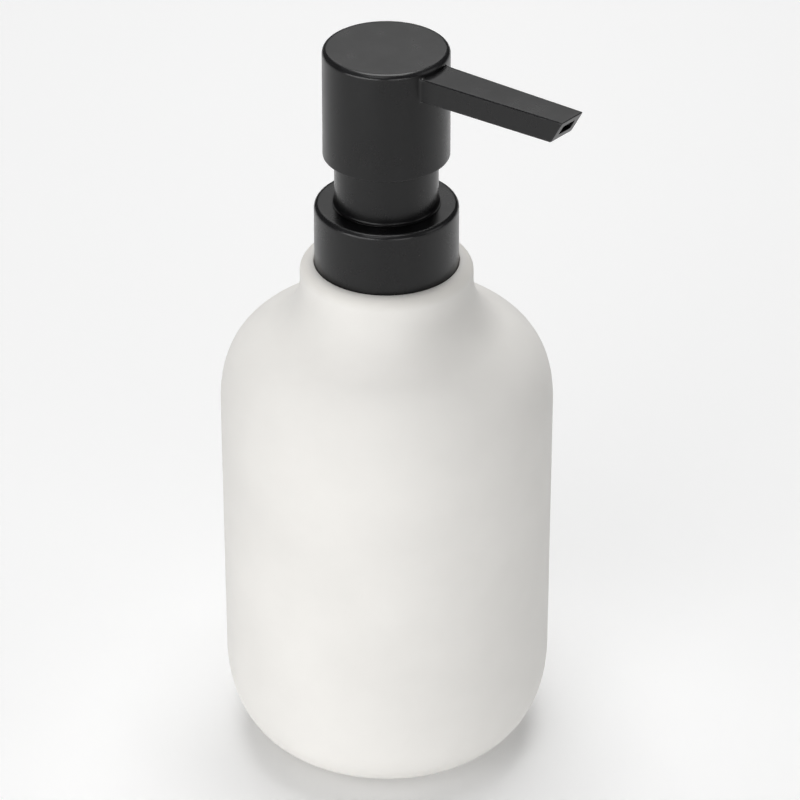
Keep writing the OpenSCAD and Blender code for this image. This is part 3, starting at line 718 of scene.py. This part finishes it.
def coil_spring():
    """A compression spring of round wire: open turns between two closed ends."""
    wire_r = spring_wire / 2
    coil_r = spring_outer_r - wire_r
    steps, sides = 40, 14
    closed_pitch = 1.02
    dead_rise = spring_wire * closed_pitch
    open_turns = spring_turns - 2
    open_rise = (spring_top - spring_low - spring_wire - 2 * dead_rise) / open_turns
    rings = []
    for i in range(spring_turns * steps + 1):
        turn = i / steps
        rise = dead_rise * min(turn, 1) + open_rise * min(max(turn - 1, 0), open_turns)
        rise += dead_rise * max(turn - 1 - open_turns, 0)
        a = 2 * math.pi * turn
        ring = []
        for k in range(sides):
            w = 2 * math.pi * k / sides
            r = coil_r + wire_r * math.cos(w)
            height = spring_low + wire_r + rise + wire_r * math.sin(w)
            ring.append((r * math.cos(a), r * math.sin(a), height))
        rings.append(ring[::-1])
    return loft("coil_spring", rings, None, closed=False)


spring = coil_spring()
dress(spring, spring_steel)
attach(spring, "pump")
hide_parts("spring")
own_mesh(spring)


# ---------------------------------------------------------------- CAD pieces that stay

KEPT = {
    "neck_insert": white_pp, "insert_seal": seal_silicone, "closure_nut": black_pp,
    "neck_gasket": gasket_foam,
    "pump_housing": natural_pp, "chaplet": natural_pp, "ball_retainer": natural_pp, "inlet_ball": ball_glass,
    "dip_tube": tube_pe, "piston": soft_pe, "lower_stem": natural_pp, "upper_stem": natural_pp,
    "outlet_ball": ball_glass, "actuator_core": black_pp,
}
for node_name, material in KEPT.items():
    dress(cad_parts[node_name], material)


# ---------------------------------------------------------------- floor and light

def add_floor():
    """A flat sheet of pale acrylic.
    Its emission is a painted glow around and behind the bottle, and none in front."""
    size = 4.0
    mesh = bpy.data.meshes.new("floor")
    corners = [(-size, -size, 0), (size, -size, 0), (size, size, 0), (-size, size, 0)]
    mesh.from_pydata(corners, [], [(0, 1, 2, 3)])
    floor = bpy.data.objects.new("floor", mesh)
    bpy.context.scene.collection.objects.link(floor)
    material, tree, place = start_material("pale_floor_painted_glow")
    forward = (math.sin(VIEW_AZIMUTH), -math.cos(VIEW_AZIMUTH), 0.0)
    # Metres ahead of the bottle's axis, towards the viewer
    ahead = add(tree, "ShaderNodeVectorMath", {0: place, 1: forward}, operation="DOT_PRODUCT")
    # The floor's emission is a painted glow that fades out in front of the bottle
    near = add(tree, "ShaderNodeMapRange", {
        "Value": ahead.outputs["Value"], "From Min": 0.03, "From Max": 0.2,
        "To Min": FLOOR_GLOW, "To Max": 0.0}, interpolation_type="SMOOTHSTEP")
    far = add(tree, "ShaderNodeMapRange", {
        "Value": ahead.outputs["Value"], "From Min": -0.8, "From Max": -0.05,
        "To Min": SWEEP_GLOW, "To Max": 0.0}, interpolation_type="SMOOTHSTEP")
    glow = add(tree, "ShaderNodeMath", {
        0: near.outputs["Result"], 1: far.outputs["Result"]}, operation="ADD")
    finish_material(tree, {
        "Base Color": hex_colour("#F8F8F8"), "Roughness": 0.8, "Specular IOR Level": 0.2,
        "Emission Color": hex_colour("#FFFFFF"), "Emission Strength": glow.outputs[0]})
    dress(floor, material)


def add_softbox(name, azimuth, elevation, distance, width, height, power):
    """A rectangular soft light that faces the bottle's middle."""
    a, e = math.radians(azimuth), math.radians(elevation)
    data = bpy.data.lights.new(name, "AREA")
    data.shape = "RECTANGLE"
    data.size, data.size_y = width, height
    data.energy = power
    light = bpy.data.objects.new(name, data)
    back = Vector((math.sin(a) * math.cos(e), -math.cos(a) * math.cos(e), math.sin(e)))
    light.location = Vector((0, 0, AIM_HEIGHT)) + back * distance
    light.rotation_mode = "QUATERNION"
    light.rotation_quaternion = (-back).to_track_quat("-Z", "Y")
    bpy.context.scene.collection.objects.link(light)


def add_sky(strength):
    """The studio's own dim, even light."""
    world = bpy.data.worlds.new("studio")
    bpy.context.scene.world = world
    world.use_nodes = True
    tree = world.node_tree
    tree.nodes.clear()
    sky = add(tree, "ShaderNodeBackground", {"Color": hex_colour("#FFFFFF"), "Strength": strength})
    add(tree, "ShaderNodeOutputWorld", {"Surface": sky.outputs["Background"]})


add_floor()
add_sky(0.02)
# Name, azimuth and elevation in degrees, distance, width and height in metres, power in watts
add_softbox("low_key_light", 0, 4, 1.2, 1.25, 0.22, 7.0)
add_softbox("low_fill_light", 62, 4, 1.2, 0.7, 0.22, 2.2)
add_softbox("high_key_light", 20, 50, 1.2, 0.6, 0.6, 1.8)
add_softbox("right_light", 120, 20, 1.2, 0.7, 0.7, 1.2)
add_softbox("rear_light", 220, 40, 0.8, 0.5, 0.35, 0.7)
add_softbox("overhead_light", 220, 80, 1.2, 0.8, 0.8, 11.0)
bpy.context.scene.view_settings.view_transform = "Standard"
